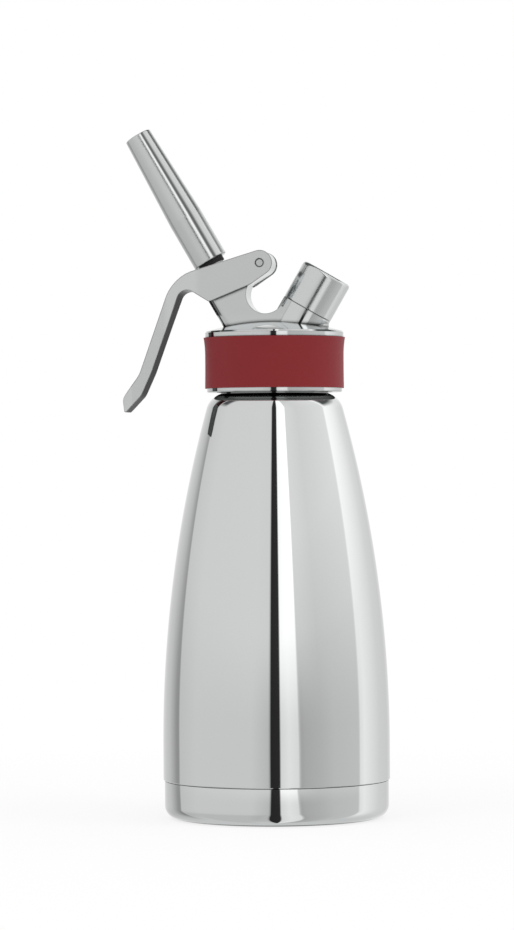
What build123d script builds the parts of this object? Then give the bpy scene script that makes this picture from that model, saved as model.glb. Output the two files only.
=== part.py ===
from build123d import *
from math import acos, asin, atan2, cos, degrees, radians, sin, sqrt, tan
import os

# Whipped cream dispenser. Millimetres, +Z up, origin at the middle of the base.
# The nozzle and the lever are on the -X side and the charger port on the +X side.

# ---- Bottle ----
BODY_R = 53.0  # outside of the foot
SHOULDER_Z = 198.1  # top of the shoulder, where it meets the neck
FOOT_TOP = 34.0  # the foot is a cylinder up to here, and the long flank starts
SEAM_Z = 17.8  # lower edge of the outer shell
SHOULDER_ROUND = 10.0
SHOULDER_TILT = 17.2  # slope left where the shoulder's rounding reaches the neck, in degrees
SHELL_WALL = 0.8
LINER_WALL = 0.8
VACUUM_GAP = 7.0
EDGE_BEVEL = 0.3  # small bevel or rounding on turned edges
SEAM_GAP = 0.3
CUP_INSET = 0.6  # the base cup is this much smaller than the shell
CUP_CORNER = 6.0
CUP_EDGE = 0.15
CUP_LIP = 6.0
FLOOR_WALL = 1.0
FLOOR_CROWN = 3.0
FLOOR_FLAT = 0.4  # share of the foot's radius that the crown's flat takes
FLOOR_SLOPE_END = 0.8  # and where its slope ends
PUMP_HOLE_R = 2.0
SEAL_DISC_R = 5.0
SEAL_DISC_T = 1.0
LINER_FLOOR_GAP = 4.2
LINER_CORNER = 15.0
NECK_R = 25.2
NECK_WALL = 3.7
NECK_HEIGHT = 22.9  # from the shoulder to the rim
NECK_ROOT = 4.1  # how far the neck ring reaches down inside the shell
NECK_LIP = 1.0

# ---- Threads ----
NECK_PITCH = 5.0
NECK_TURNS = 2
NECK_THREAD_H = 1.4
NECK_THREAD_START = 5.9  # above the shoulder
SMALL_PITCH = 2.0
SMALL_TURNS = 4
SMALL_THREAD_START = 1.0
SPIGOT_THREAD_H = 0.75
PORT_THREAD_H = 0.7
THREAD_BASE = 0.44  # a ridge's width at its wall, as a share of the pitch
THREAD_CREST = 0.2  # and at its crest
RIDGE_SINK = 0.4  # how deep a thread ridge is rooted in its wall
NECK_THREAD_GAP = 0.6  # from a ridge's crest to the facing wall
NECK_CREST_GAP = 0.5
SPIGOT_THREAD_GAP = 0.25
SPIGOT_CREST_GAP = 0.4
PORT_THREAD_GAP = 0.3
PORT_CREST_GAP = 0.3

# ---- Head; heights on it are from the top of the dome ----
HEAD_LIFT = 0.65  # gap between shoulder and head
HEAD_ROOF = 8.0  # from the ceiling to the top of the dome
SKIRT_WALL = 2.8
RING_PROUD = 1.6  # how far the steel ring under the sleeve stands out of the skirt
RING_H = 1.85
RIM_H = 2.77  # height of the rim over the sleeve, to the dome's edge
RIM_EDGE = 0.6
DOME_R = 109.0
SLEEVE_T = 2.4
SLEEVE_FLARE = 0.7
SLEEVE_FLARE_H = 8.3
SLEEVE_FOOT = 0.1
GASKET_T = 3.0
GASKET_LAP = 0.2  # how far the gasket reaches into the neck
GASKET_GAP = 0.7
WEB_W = 20.0
WEB_LEFT_ROUND = 4.6
WEB_END_X = 15.7
WEB_SINK = 1.5  # web and bosses start this far above the head's ceiling
WEB_CUT_X = -3.05
WEB_CUT_Z = 12.3
WEB_CUT_R = 9.0
WEB_STEP = 2.9  # beside the charger boss the web starts this far inside its outline
ARM_LEFT = 9.8
ARM_FACE = 8.0
ARM_INSET = 0.3  # the arm's round end is this much smaller than the lever's
ARM_TOP_TILT = 27.5
ARM_TOP_GAP = 0.5  # under the lever's web

# ---- Lever, seen from the side; offsets are from the pivot ----
PIVOT_X = -5.5
PIVOT_Z = 26.9
LEVER_END_R = 5.9
LEVER_TOP_TILT = 17.0
LEVER_BEND_X = -41.45  # where the top line ends, over the handle
LEVER_BEND_ROUND = 20.0
LEVER_HEEL = (-4.1, -10.0, 12.0)  # x, z and rounding, at the arm
LEVER_JAW = (-23.8, -18.0, 2.0)  # lower corner of the cheeks
LEVER_CROOK = (-36.9, -9.9, 5.0)  # where the handle's inner side meets the cheeks
HANDLE_OUTER = ((-57.35, -51.7, 15.0), (-65.6, -63.0, 4.0))
HANDLE_TIP = (-64.5, -70.1, 0.8)
HANDLE_INNER = ((-56.35, -61.45, 8.0), (-51.5, -50.7, 30.0))
HANDLE_W = 16.0
HANDLE_TIP_ROUND = 6.0
CHEEK_T = 1.3
CHEEK_GAP = 0.25
LEVER_WEB_T = 3.0
LEVER_WEB_END = 5.8  # the lever's web stops this far short of the pivot
CHANNEL_END = -31.0
TAPER_START = -32.0
TAPER_END = -42.0
PIN_R = 1.95
PIN_FIT = 0.05
PIN_RECESS = 0.1
PAD_R = 2.2
PAD_GAP = 0.1

# ---- Valve; t runs along the stem, inward, from the nozzle's base ----
NOZZLE_X = -29.8
NOZZLE_RISE = 2.66  # height of the nozzle's base over the lever's top line
VALVE_TILT = 30.0
NOZZLE_L = 68.4
NOZZLE_WALL = 3.0
NOZZLE_TIP_R = 6.4
NOZZLE_TAPER_L = 45.0
NOZZLE_EDGE = 0.5
NOZZLE_THREAD_L = 11.4
OUTLET_R = 3.6
OUTLET_TOOTH = 1.3
OUTLET_TEETH = 8
OUTLET_L = 12.0
STEM_R = 3.5
STEM_SHOULDER = 0.5  # the stem's top is this much smaller than the stem
STEM_TOP = -2.0
STEM_WALL = 0.9  # at the top
STEM_BORE_END = 44.0
SIDE_PORT_R = 1.3
SIDE_PORT_T = 42.2
SPIGOT_L = 11.0
SPIGOT_WALL = 1.2
STEM_NECK_STEP = 0.8
SEAL_RING_T = 2.2
SEAL_RING_PROUD = 1.1
COLLAR_TOP = 7.4
COLLAR_T = 2.2
COLLAR_PROUD = 1.9
BOSS_TOP = 13.0
SPRING_WELL_END = 21.5
SPRING_WELL_GAP = 0.65
SPRING_WIRE = 0.55
SPRING_TURNS = 5
SPRING_SEAT = 1.5  # the spring stands on the guide this far out from its bore
GUIDE_END = 32.2
STEM_FIT = 0.05
O_RING_R = 0.8
O_RING_FIT = 0.05
O_RING_SEAT = 34.0
VALVE_BORE_GAP = 1.1
VALVE_FACE = 45.0
VALVE_BOSS_WALL = 3.4
VALVE_BOSS_START = 39.0
VALVE_SEAL_T = 1.5
VALVE_SEAL_W = 2.5
POPPET_T = 2.0
POPPET_PROUD = 0.2
SLOT_GAP = 0.5
SLOT_SHIFT = 1.1  # the lever slides this far across the stem when pressed
RECESS_FLOOR = 2.9
POCKET_GAP = 0.6
POCKET_ROOF = 6.3

# ---- Charger port; s runs along the port, outward, from the seam ----
PORT_X = 15.6
PORT_Z = 5.6
PORT_TILT = 30.0
PORT_R = 8.4
CAP_L = 19.2
CAP_TOP = 4.5
CAP_WALL = 2.85
CAP_EDGE = 1.6
CAP_SEAM = 0.12
CAP_LINER_T = 1.5
CAP_LINER_GAP = 0.3
PORT_THREAD_START = 2.0
PORT_STEM_R = 6.5
PORT_STEM_L = 8.0
CHARGER_RECESS_R = 5.2
CHARGER_RECESS_FLOOR = 2.2
CHARGER_GASKET_T = 2.0
CHARGER_GASKET_GAP = 0.2
PIERCE_R = 1.1
PIERCE_ROOT = 4.0
PIERCE_LENGTH = 8.3
PIERCE_POINT = 2.0
PIERCE_BORE = 0.4
GAS_HOLE_R = 0.8
CHECK_R = 4.0
CHECK_BREAK = 18.0  # the check valve's bore runs out through the ceiling
CHECK_DISC_GAP = 0.6
CHECK_DISC_T = 1.0
CHECK_SPRING_L = 3.4
CHECK_SPRING_R = 2.6
CHECK_SPRING_WIRE = 0.25
CHECK_SPRING_TURNS = 3
RETAINER_T = 1.8
RETAINER_WALL = 2.0

# ---- Sizes and places that follow from these ----
SHOULDER_CENTRE_R = NECK_R - SHOULDER_ROUND * sin(radians(SHOULDER_TILT))
SHOULDER_CENTRE_Z = SHOULDER_Z - SHOULDER_ROUND * cos(radians(SHOULDER_TILT))
FLANK_SPAN = BODY_R - SHOULDER_CENTRE_R
FLANK_RISE = SHOULDER_CENTRE_Z - FOOT_TOP
FLANK_R = (FLANK_SPAN**2 + FLANK_RISE**2 - SHOULDER_ROUND**2) / (2 * (FLANK_SPAN - SHOULDER_ROUND))
FLANK_CENTRE = (BODY_R - FLANK_R, FOOT_TOP)
SHELL_BORE = BODY_R - SHELL_WALL
FLOOR_Z = SEAM_Z + CUP_LIP
LINER_FLOOR = FLOOR_Z + FLOOR_CROWN + FLOOR_WALL + LINER_FLOOR_GAP
LINER_BORE = NECK_R - NECK_WALL - LINER_WALL
NECK_RIM = SHOULDER_Z + NECK_HEIGHT
CEILING = NECK_RIM + GASKET_T

SKIRT_BORE = NECK_R + NECK_THREAD_H + NECK_THREAD_GAP
SKIRT_THREAD_H = SKIRT_BORE - NECK_R - NECK_CREST_GAP
CORE_R = SKIRT_BORE + SKIRT_WALL
RING_R = CORE_R + RING_PROUD
SLEEVE_R = CORE_R + SLEEVE_T
RIM_R = SLEEVE_R
HEAD_BOTTOM = SHOULDER_Z + HEAD_LIFT
SLEEVE_BOTTOM = HEAD_BOTTOM + RING_H
DOME_TOP = CEILING + HEAD_ROOF
RIM_TOP = DOME_TOP - DOME_R + sqrt(DOME_R**2 - RIM_R**2)
SLEEVE_TOP = RIM_TOP - RIM_H

PIVOT = (PIVOT_X, DOME_TOP + PIVOT_Z)
CHEEK_IN = WEB_W / 2 + CHEEK_GAP
CHEEK_OUT = CHEEK_IN + CHEEK_T
ARM_END_R = LEVER_END_R - ARM_INSET
ARM_TOP_OFFSET = LEVER_END_R - LEVER_WEB_T - ARM_TOP_GAP
LEVER_SLOPE = tan(radians(LEVER_TOP_TILT))
LEVER_TOP_AT_PIVOT = LEVER_END_R / cos(radians(LEVER_TOP_TILT))
NOZZLE_Z = PIVOT[1] + LEVER_TOP_AT_PIVOT + (NOZZLE_X - PIVOT_X) * LEVER_SLOPE + NOZZLE_RISE

STEM_TOP_R = STEM_R - STEM_SHOULDER
STEM_BORE = STEM_TOP_R - STEM_WALL
SPIGOT_R = STEM_TOP_R + SPIGOT_WALL
STEM_NECK_R = SPIGOT_R + STEM_NECK_STEP
SEAL_RING_R = STEM_NECK_R + SEAL_RING_PROUD
COLLAR_R = STEM_NECK_R + COLLAR_PROUD
COLLAR_END = COLLAR_TOP + COLLAR_T
NOZZLE_BORE = SPIGOT_R + SPIGOT_THREAD_H + SPIGOT_THREAD_GAP
NOZZLE_RIDGE_H = NOZZLE_BORE - SPIGOT_R - SPIGOT_CREST_GAP
NOZZLE_R = NOZZLE_BORE + NOZZLE_WALL
GUIDE_BORE = STEM_R + STEM_FIT
GUIDE_R = GUIDE_BORE + 2 * O_RING_R + O_RING_FIT
SPRING_R = GUIDE_BORE + SPRING_SEAT + SPRING_WIRE
SPRING_WELL_R = SPRING_R + SPRING_WIRE + SPRING_WELL_GAP
VALVE_BORE = STEM_R + VALVE_BORE_GAP
VALVE_BOSS_R = VALVE_BORE + VALVE_BOSS_WALL
VALVE_SEAL_R = STEM_R + VALVE_SEAL_W
POPPET_R = VALVE_SEAL_R + POPPET_PROUD
RECESS_R = SEAL_RING_R + SLOT_GAP + SLOT_SHIFT
POCKET_R = COLLAR_R + POCKET_GAP + SLOT_SHIFT

CAP_BORE = PORT_R + PORT_THREAD_H + PORT_THREAD_GAP
CAP_RIDGE_H = CAP_BORE - PORT_R - PORT_CREST_GAP
CAP_R = CAP_BORE + CAP_WALL
CAP_CEILING = CAP_L - CAP_TOP
PORT_END = CAP_CEILING - CAP_LINER_T
CHARGER_GASKET_R = CHARGER_RECESS_R - CHARGER_GASKET_GAP
CHECK_DISC_R = CHECK_R - CHECK_DISC_GAP
RETAINER_BORE = CHECK_R - RETAINER_WALL

VALVE = Plane(
    origin=(NOZZLE_X, 0, NOZZLE_Z),
    x_dir=(cos(radians(VALVE_TILT)), 0, sin(radians(VALVE_TILT))),
    z_dir=(sin(radians(VALVE_TILT)), 0, -cos(radians(VALVE_TILT))),
)
PORT = Plane(
    origin=(PORT_X, 0, DOME_TOP + PORT_Z),
    x_dir=(cos(radians(PORT_TILT)), 0, -sin(radians(PORT_TILT))),
    z_dir=(sin(radians(PORT_TILT)), 0, cos(radians(PORT_TILT))),
)


# ---- Helpers ----
def turned(*points):
    """A solid turned about Z from (radius, height) corners; a third number rounds one."""
    corners = [point[:2] for point in points]
    rounding = [point[2] if len(point) == 3 else 0 for point in points]
    outline = FilletPolyline(*corners, radius=rounding, close=True)
    return revolve(make_face(Plane.XZ * outline), Axis.Z)


def turned_from_edges(edges):
    """A solid turned about Z from edges drawn as (radius, height)."""
    return revolve(make_face([Plane.XZ * edge for edge in edges]), Axis.Z)


def rod(radius, start, end):
    """A round bar about Z from one height to another."""
    return Pos(0, 0, (start + end) / 2) * Cylinder(radius, abs(end - start))


def tube(outer, inner, start, end):
    """A round tube about Z."""
    return rod(outer, start, end) - rod(inner, start, end)


def thread_ridge(root, height, pitch, turns, start):
    """A right-handed helical ridge on a wall of this radius; a negative height points inward."""
    base = pitch * THREAD_BASE
    crest = pitch * THREAD_CREST
    sink = RIDGE_SINK if height > 0 else -RIDGE_SINK
    corners = [
        (root - sink, -base / 2),
        (root, -base / 2),
        (root + height, -crest / 2),
        (root + height, crest / 2),
        (root, base / 2),
        (root - sink, base / 2),
    ]
    profile = make_face(Plane.XZ * Polyline(*corners, close=True))
    ridge = sweep(profile, path=Helix(pitch, pitch * turns, root), is_frenet=True)
    return Pos(0, 0, start) * ridge


def coil_spring(radius, wire, turns, start, end):
    """A round-wire spring about Z that just touches both heights."""
    rise = end - start - 2 * wire
    path = Helix(rise / turns, rise, radius)
    coil = sweep(Plane.XZ * Pos(radius, 0) * Circle(wire), path=path, is_frenet=True)
    return Pos(0, 0, start + wire) * coil


def arc_about(centre, radius, start, end):
    """An arc about a centre, between two angles in degrees."""
    return CenterArc(centre, radius, start, end - start)


def flank_round(inset, radius, z):
    """Centre, and angle on the flank, of a rounding at this height that touches the inset flank."""
    reach = FLANK_R - inset - radius
    rise = z - FOOT_TOP
    centre = (FLANK_CENTRE[0] + sqrt(reach**2 - rise**2), z)
    return centre, degrees(asin(rise / reach))


def flank_z(inset, radius):
    """Height at which the inset flank has this radius."""
    return FOOT_TOP + sqrt((FLANK_R - inset) ** 2 - (radius - FLANK_CENTRE[0]) ** 2)


def side_plate(width, *points):
    """A plate in the XZ plane, centred on Y, from (x, z) corners; a third number rounds one."""
    corners = [point[:2] for point in points]
    rounding = [point[2] if len(point) == 3 else 0 for point in points]
    outline = FilletPolyline(*corners, radius=rounding, close=True)
    return extrude(make_face(Plane.XZ * outline), width / 2, both=True)


def cross_bar(centre, radius, width):
    """A round bar along Y, centred on Y, at (x, z)."""
    return Pos(centre[0], 0, centre[1]) * Rot(90, 0, 0) * Cylinder(radius, width)


def at_valve(n, t):
    """(x, z) of a point n across and t along the valve."""
    place = VALVE.from_local_coords(Vector(n, 0, t))
    return (place.X, place.Z)


def at_port(n, s):
    """(x, z) of a point n across and s along the port."""
    place = PORT.from_local_coords(Vector(n, 0, s))
    return (place.X, place.Z)


def from_pivot(offset):
    """(x, z), and the rounding, of a point given from the pivot."""
    return (PIVOT[0] + offset[0], PIVOT[1] + offset[1], *offset[2:])


def polar(centre, radius, angle):
    """(x, z) at an angle, in degrees, round a centre."""
    return (centre[0] + radius * cos(radians(angle)), centre[1] + radius * sin(radians(angle)))


def tangent_tilt(point, radius):
    """Tilt, in degrees, of the line from a point that passes below the pivot at this radius."""
    across = PIVOT[0] - point[0]
    up = PIVOT[1] - point[1]
    return degrees(atan2(up, across) - asin(radius / sqrt(across**2 + up**2)))


# ---- Bottle ----
def outer_shell():
    edges = []
    feet = []
    tops = []
    for inset, bevel in ((0, EDGE_BEVEL), (SHELL_WALL, 0)):
        radius = BODY_R - inset
        rounding = SHOULDER_ROUND - inset
        centre, angle = flank_round(inset, rounding, SHOULDER_CENTRE_Z)
        neck_angle = degrees(acos((NECK_R - centre[0]) / rounding))
        edges.append(Line((radius, SEAM_Z + bevel), (radius, FOOT_TOP)))
        edges.append(arc_about(FLANK_CENTRE, FLANK_R - inset, 0, angle))
        edges.append(arc_about(centre, rounding, angle, neck_angle))
        feet.append((radius, SEAM_Z + bevel))
        tops.append(polar(centre, rounding, neck_angle))
    edges.append(Line(*tops))
    edges.append(Polyline(feet[0], (BODY_R - EDGE_BEVEL, SEAM_Z), feet[1]))
    return turned_from_edges(edges)


def base_cup():
    outer = BODY_R - CUP_INSET
    top = SEAM_Z - SEAM_GAP
    inner = SHELL_BORE - SHELL_WALL
    return turned(
        (0, 0),
        (outer, 0, CUP_CORNER),
        (outer, top, CUP_EDGE),
        (SHELL_BORE, top),
        (SHELL_BORE, FLOOR_Z),
        (inner, FLOOR_Z),
        (inner, SHELL_WALL, CUP_CORNER - SHELL_WALL),
        (0, SHELL_WALL),
    )


def vacuum_floor():
    low = FLOOR_Z
    high = low + FLOOR_CROWN
    flat = BODY_R * FLOOR_FLAT
    slope_end = BODY_R * FLOOR_SLOPE_END
    return turned(
        (PUMP_HOLE_R, high),
        (flat, high),
        (slope_end, low),
        (SHELL_BORE, low),
        (SHELL_BORE, low + FLOOR_WALL),
        (slope_end, low + FLOOR_WALL),
        (flat, high + FLOOR_WALL),
        (PUMP_HOLE_R, high + FLOOR_WALL),
    )


def vacuum_seal_disc():
    top = FLOOR_Z + FLOOR_CROWN
    return rod(SEAL_DISC_R, top - SEAL_DISC_T, top)


def inner_liner():
    edges = []
    for inset, bore, floor in (
        (SHELL_WALL + VACUUM_GAP, LINER_BORE + LINER_WALL, LINER_FLOOR),
        (SHELL_WALL + VACUUM_GAP + LINER_WALL, LINER_BORE, LINER_FLOOR + LINER_WALL),
    ):
        corner = LINER_CORNER - (floor - LINER_FLOOR)
        centre, angle = flank_round(inset, corner, floor + corner)
        neck_z = flank_z(inset, bore)
        top_angle = degrees(asin((neck_z - FOOT_TOP) / (FLANK_R - inset)))
        edges.append(Line((0, floor), (centre[0], floor)))
        edges.append(arc_about(centre, corner, -90, angle))
        edges.append(arc_about(FLANK_CENTRE, FLANK_R - inset, angle, top_angle))
        edges.append(Line((bore, neck_z), (bore, NECK_RIM)))
    edges.append(Line((0, LINER_FLOOR), (0, LINER_FLOOR + LINER_WALL)))
    edges.append(Line((LINER_BORE, NECK_RIM), (LINER_BORE + LINER_WALL, NECK_RIM)))
    return turned_from_edges(edges)


def neck_ring():
    bottom = SHOULDER_Z - NECK_ROOT
    bore = LINER_BORE + LINER_WALL
    bore_start = flank_z(SHELL_WALL + VACUUM_GAP, bore) + SEAM_GAP
    wall = turned(
        (NECK_R - NECK_LIP, bottom),
        (NECK_R, bottom),
        (NECK_R, NECK_RIM, EDGE_BEVEL),
        (bore, NECK_RIM),
        (bore, bore_start),
    )
    start = SHOULDER_Z + NECK_THREAD_START
    return wall + thread_ridge(NECK_R, NECK_THREAD_H, NECK_PITCH, NECK_TURNS, start)


def head_gasket():
    return tube(SKIRT_BORE - GASKET_GAP, LINER_BORE - GASKET_LAP, NECK_RIM, CEILING)


# ---- Head ----
def head_shell():
    """Skirt, rim and dome, with the thread inside."""
    dome_centre = (0, DOME_TOP - DOME_R)
    rim_angle = degrees(atan2(RIM_TOP - dome_centre[1], RIM_R - RIM_EDGE))
    dome_edge = polar(dome_centre, DOME_R, rim_angle)
    edges = [
        arc_about(dome_centre, DOME_R, rim_angle, 90),
        Polyline(
            dome_edge,
            (RIM_R, RIM_TOP - RIM_EDGE),
            (RIM_R, SLEEVE_TOP),
            (CORE_R, SLEEVE_TOP),
            (CORE_R, SLEEVE_BOTTOM),
            (RING_R, SLEEVE_BOTTOM),
            (RING_R, HEAD_BOTTOM + EDGE_BEVEL),
            (RING_R - EDGE_BEVEL, HEAD_BOTTOM),
            (SKIRT_BORE, HEAD_BOTTOM),
            (SKIRT_BORE, CEILING),
            (0, CEILING),
            (0, DOME_TOP),
        ),
    ]
    start = SHOULDER_Z + NECK_THREAD_START + NECK_PITCH / 2
    ridge = thread_ridge(SKIRT_BORE, -SKIRT_THREAD_H, NECK_PITCH, NECK_TURNS, start)
    return turned_from_edges(edges) + ridge


def arm_and_web():
    """The flat web that carries the lever's arm on the left and the charger boss on the right."""
    cut = (WEB_CUT_X, DOME_TOP + WEB_CUT_Z)
    top_left = polar(PIVOT, ARM_TOP_OFFSET, 90 + ARM_TOP_TILT)
    run = (top_left[0] - at_valve(ARM_FACE, 0)[0]) / cos(radians(ARM_TOP_TILT)) + BOSS_TOP
    far_left = polar(top_left, run, 180 + ARM_TOP_TILT)
    crotch = polar(cut, WEB_CUT_R, 180 - VALVE_TILT)
    tilt = tangent_tilt(crotch, ARM_END_R)
    arm = side_plate(
        WEB_W,
        crotch,
        polar(PIVOT, ARM_END_R, tilt - 90),
        polar(PIVOT, ARM_END_R / 2, tilt),
        top_left,
        far_left,
        at_valve(ARM_LEFT / 2, BOSS_TOP + COLLAR_R),
    )
    face_cut = VALVE * Pos(ARM_FACE - BODY_R, 0, BOSS_TOP - BODY_R) * Box(2 * BODY_R, BODY_R, 2 * BODY_R)
    arm_end = cross_bar(PIVOT, ARM_END_R, WEB_W)
    base = SHOULDER_Z
    web = side_plate(
        WEB_W,
        at_valve(-ARM_LEFT, BOSS_TOP + BODY_R),
        at_valve(-ARM_LEFT, BOSS_TOP),
        at_valve(ARM_FACE, BOSS_TOP),
        crotch,
        cut,
        at_port(WEB_STEP - CAP_R, -WEB_CUT_R / 2),
        at_port(WEB_STEP - CAP_R, 0),
        at_port(CAP_R + WEB_W, 0),
        (WEB_END_X + WEB_W, base),
    )
    lever_side = web.edges().filter_by(lambda edge: edge.length > BOSS_TOP)
    lever_side = lever_side.filter_by(Axis((0, 0, 0), VALVE.z_dir)).sort_by(Axis.X)[:2]
    web = fillet(lever_side, WEB_LEFT_ROUND)
    port_side = PORT * Pos(BODY_R + WEB_STEP - CAP_R, 0, 0) * Box(2 * BODY_R, 3 * WEB_W, 2 * BODY_R)
    web = web - (cross_bar(cut, WEB_CUT_R, 2 * WEB_W) - port_side)
    block = Pos(WEB_END_X - BODY_R, 0, DOME_TOP) * Box(2 * BODY_R, WEB_W, 2 * BODY_R)
    round_end = Pos(WEB_END_X, 0, DOME_TOP) * Cylinder(WEB_W / 2, 2 * BODY_R)
    web = web & (block + round_end)
    return web + (arm - face_cut) + arm_end


def head_body():
    pedestal = arm_and_web() + PORT * rod(CAP_R, -PORT_STEM_L - CHECK_R, 0)
    keep_z = CEILING + WEB_SINK
    pedestal = pedestal & (Pos(0, 0, keep_z + BODY_R) * Box(4 * BODY_R, 2 * BODY_R, 2 * BODY_R))
    body = head_shell() + pedestal + VALVE * rod(VALVE_BOSS_R, VALVE_BOSS_START, VALVE_FACE)
    bores = VALVE * rod(SPRING_WELL_R, 0, SPRING_WELL_END)
    bores += VALVE * rod(GUIDE_R, SPRING_WELL_END, O_RING_SEAT)
    bores += VALVE * rod(VALVE_BORE, O_RING_SEAT, VALVE_FACE)
    bores += VALVE * rod(VALVE_BOSS_R, VALVE_FACE, VALVE_FACE + VALVE_BOSS_R)
    body = body - bores
    body = body - PORT * rod(PORT_STEM_R, -PORT_STEM_L, 1)
    body = body - PORT * rod(CHECK_R, -CHECK_BREAK, -PORT_STEM_L)
    return body - cross_bar(PIVOT, PIN_R + PIN_FIT, 2 * WEB_W)


def grip_sleeve():
    flare_start = SLEEVE_TOP - SLEEVE_FLARE_H
    foot_end = SLEEVE_BOTTOM + SLEEVE_FLARE_H
    foot_r = SLEEVE_R + SLEEVE_FOOT
    top_r = SLEEVE_R + SLEEVE_FLARE
    edges = [
        TangentArc((SLEEVE_R, flare_start), (top_r, SLEEVE_TOP), tangent=(0, 1)),
        Polyline(
            (top_r, SLEEVE_TOP),
            (CORE_R, SLEEVE_TOP),
            (CORE_R, SLEEVE_BOTTOM),
            (foot_r, SLEEVE_BOTTOM),
            (SLEEVE_R, foot_end),
            (SLEEVE_R, flare_start),
        ),
    ]
    return turned_from_edges(edges)


# ---- Lever ----
def lever_outline():
    """Corners of the lever's side, clockwise from the round end at the pivot."""
    heel = from_pivot(LEVER_HEEL)
    low_tilt = tangent_tilt(heel, LEVER_END_R)
    half = (low_tilt - LEVER_TOP_TILT) / 2
    nose = polar(PIVOT, LEVER_END_R / sin(radians(half)), LEVER_TOP_TILT + half)
    bend_z = LEVER_TOP_AT_PIVOT + LEVER_BEND_X * LEVER_SLOPE
    corners = [(*nose, LEVER_END_R), from_pivot((LEVER_BEND_X, bend_z, LEVER_BEND_ROUND))]
    corners += [from_pivot(corner) for corner in HANDLE_OUTER]
    corners.append(from_pivot(HANDLE_TIP))
    corners += [from_pivot(corner) for corner in HANDLE_INNER]
    corners += [from_pivot(LEVER_CROOK), from_pivot(LEVER_JAW), heel]
    return corners


def lever_plan():
    """The lever's outline seen from above, as a tall block."""
    left = PIVOT[0] + HANDLE_OUTER[1][0] - 1
    right = PIVOT[0] + 2 * LEVER_END_R
    start = PIVOT[0] + TAPER_START
    end = PIVOT[0] + TAPER_END
    soft = WEB_W
    half = HANDLE_W / 2
    corners = [
        (left, -half, HANDLE_TIP_ROUND),
        (end, -half, soft),
        (start, -CHEEK_OUT, soft),
        (right, -CHEEK_OUT, 0),
        (right, CHEEK_OUT, 0),
        (start, CHEEK_OUT, soft),
        (end, half, soft),
        (left, half, HANDLE_TIP_ROUND),
    ]
    outline = FilletPolyline(
        *[corner[:2] for corner in corners],
        radius=[corner[2] for corner in corners],
        close=True,
    )
    return Pos(0, 0, SHOULDER_Z - BODY_R) * extrude(make_face(outline), 3 * BODY_R)


def lever_channel():
    """The hollow between the cheeks, under the lever's web, for the arm."""
    above_pivot = polar(PIVOT, LEVER_END_R - LEVER_WEB_T, 90 + LEVER_TOP_TILT)
    web_end = polar(above_pivot, LEVER_WEB_END, 180 + LEVER_TOP_TILT)
    above_web = polar(web_end, 2 * LEVER_WEB_T, 90 + LEVER_TOP_TILT)
    channel_x = PIVOT[0] + CHANNEL_END
    roof_z = web_end[1] - (web_end[0] - channel_x) * LEVER_SLOPE
    low = PIVOT[1] - 2 * WEB_W
    return side_plate(
        2 * CHEEK_IN,
        web_end,
        (channel_x, roof_z, LEVER_WEB_T),
        (channel_x, low),
        (PIVOT[0] + WEB_W, low),
        polar(above_web, 2 * WEB_W, LEVER_TOP_TILT),
        above_web,
    )


def lever():
    body = side_plate(2 * CHEEK_OUT, *lever_outline()) & lever_plan()
    body = body - lever_channel()
    slot_r = STEM_NECK_R + SLOT_GAP
    slot = rod(slot_r, -BOSS_TOP, BOSS_TOP) + Pos(SLOT_SHIFT, 0, 0) * rod(slot_r, -BOSS_TOP, BOSS_TOP)
    slot += Pos(SLOT_SHIFT / 2, 0, 0) * Box(SLOT_SHIFT, 2 * slot_r, 2 * BOSS_TOP)
    body = body - VALVE * slot
    body = body - VALVE * rod(RECESS_R, -BOSS_TOP, RECESS_FLOOR)
    body = body - VALVE * rod(POCKET_R, POCKET_ROOF, POCKET_ROOF + BOSS_TOP)
    pad_t = COLLAR_TOP - PAD_GAP - PAD_R
    pads = cross_bar(at_valve(0, pad_t), PAD_R, 2 * CHEEK_IN) - VALVE * slot
    body = body + pads
    return body - cross_bar(PIVOT, PIN_R, 3 * CHEEK_OUT)


def lever_pin():
    return cross_bar(PIVOT, PIN_R, 2 * (CHEEK_OUT - PIN_RECESS))


# ---- Valve, drawn about Z with t as height, then placed ----
def stem_collar():
    body = turned(
        (STEM_BORE, -SPIGOT_L),
        (SPIGOT_R, -SPIGOT_L, EDGE_BEVEL),
        (SPIGOT_R, SEAL_RING_T),
        (STEM_NECK_R, SEAL_RING_T),
        (STEM_NECK_R, COLLAR_TOP),
        (COLLAR_R, COLLAR_TOP, EDGE_BEVEL),
        (COLLAR_R, COLLAR_END, EDGE_BEVEL),
        (STEM_TOP_R, COLLAR_END),
        (STEM_TOP_R, STEM_TOP),
        (STEM_BORE, STEM_TOP),
    )
    start = -SMALL_THREAD_START - SMALL_PITCH * SMALL_TURNS
    ridge = thread_ridge(SPIGOT_R, SPIGOT_THREAD_H, SMALL_PITCH, SMALL_TURNS, start)
    return VALVE * (body + ridge)


def valve_stem():
    poppet_top = VALVE_FACE + VALVE_SEAL_T
    body = turned(
        (0, poppet_top + POPPET_T),
        (POPPET_R, poppet_top + POPPET_T, EDGE_BEVEL),
        (POPPET_R, poppet_top),
        (STEM_R, poppet_top),
        (STEM_R, COLLAR_END),
        (STEM_TOP_R, COLLAR_END),
        (STEM_TOP_R, STEM_TOP),
        (STEM_BORE, STEM_TOP),
        (STEM_BORE, STEM_BORE_END),
        (0, STEM_BORE_END),
    )
    for turn in (0, 90):
        body -= Pos(0, 0, SIDE_PORT_T) * Rot(90, 0, turn) * Cylinder(SIDE_PORT_R, 3 * STEM_R)
    return VALVE * body


def valve_seal():
    return VALVE * tube(VALVE_SEAL_R, STEM_R, VALVE_FACE, VALVE_FACE + VALVE_SEAL_T)


def valve_guide():
    return VALVE * tube(GUIDE_R, GUIDE_BORE, SPRING_WELL_END, GUIDE_END)


def stem_o_ring():
    centre = (GUIDE_END + O_RING_SEAT) / 2
    return VALVE * Pos(0, 0, centre) * Torus(GUIDE_BORE + O_RING_R, O_RING_R)


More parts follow.
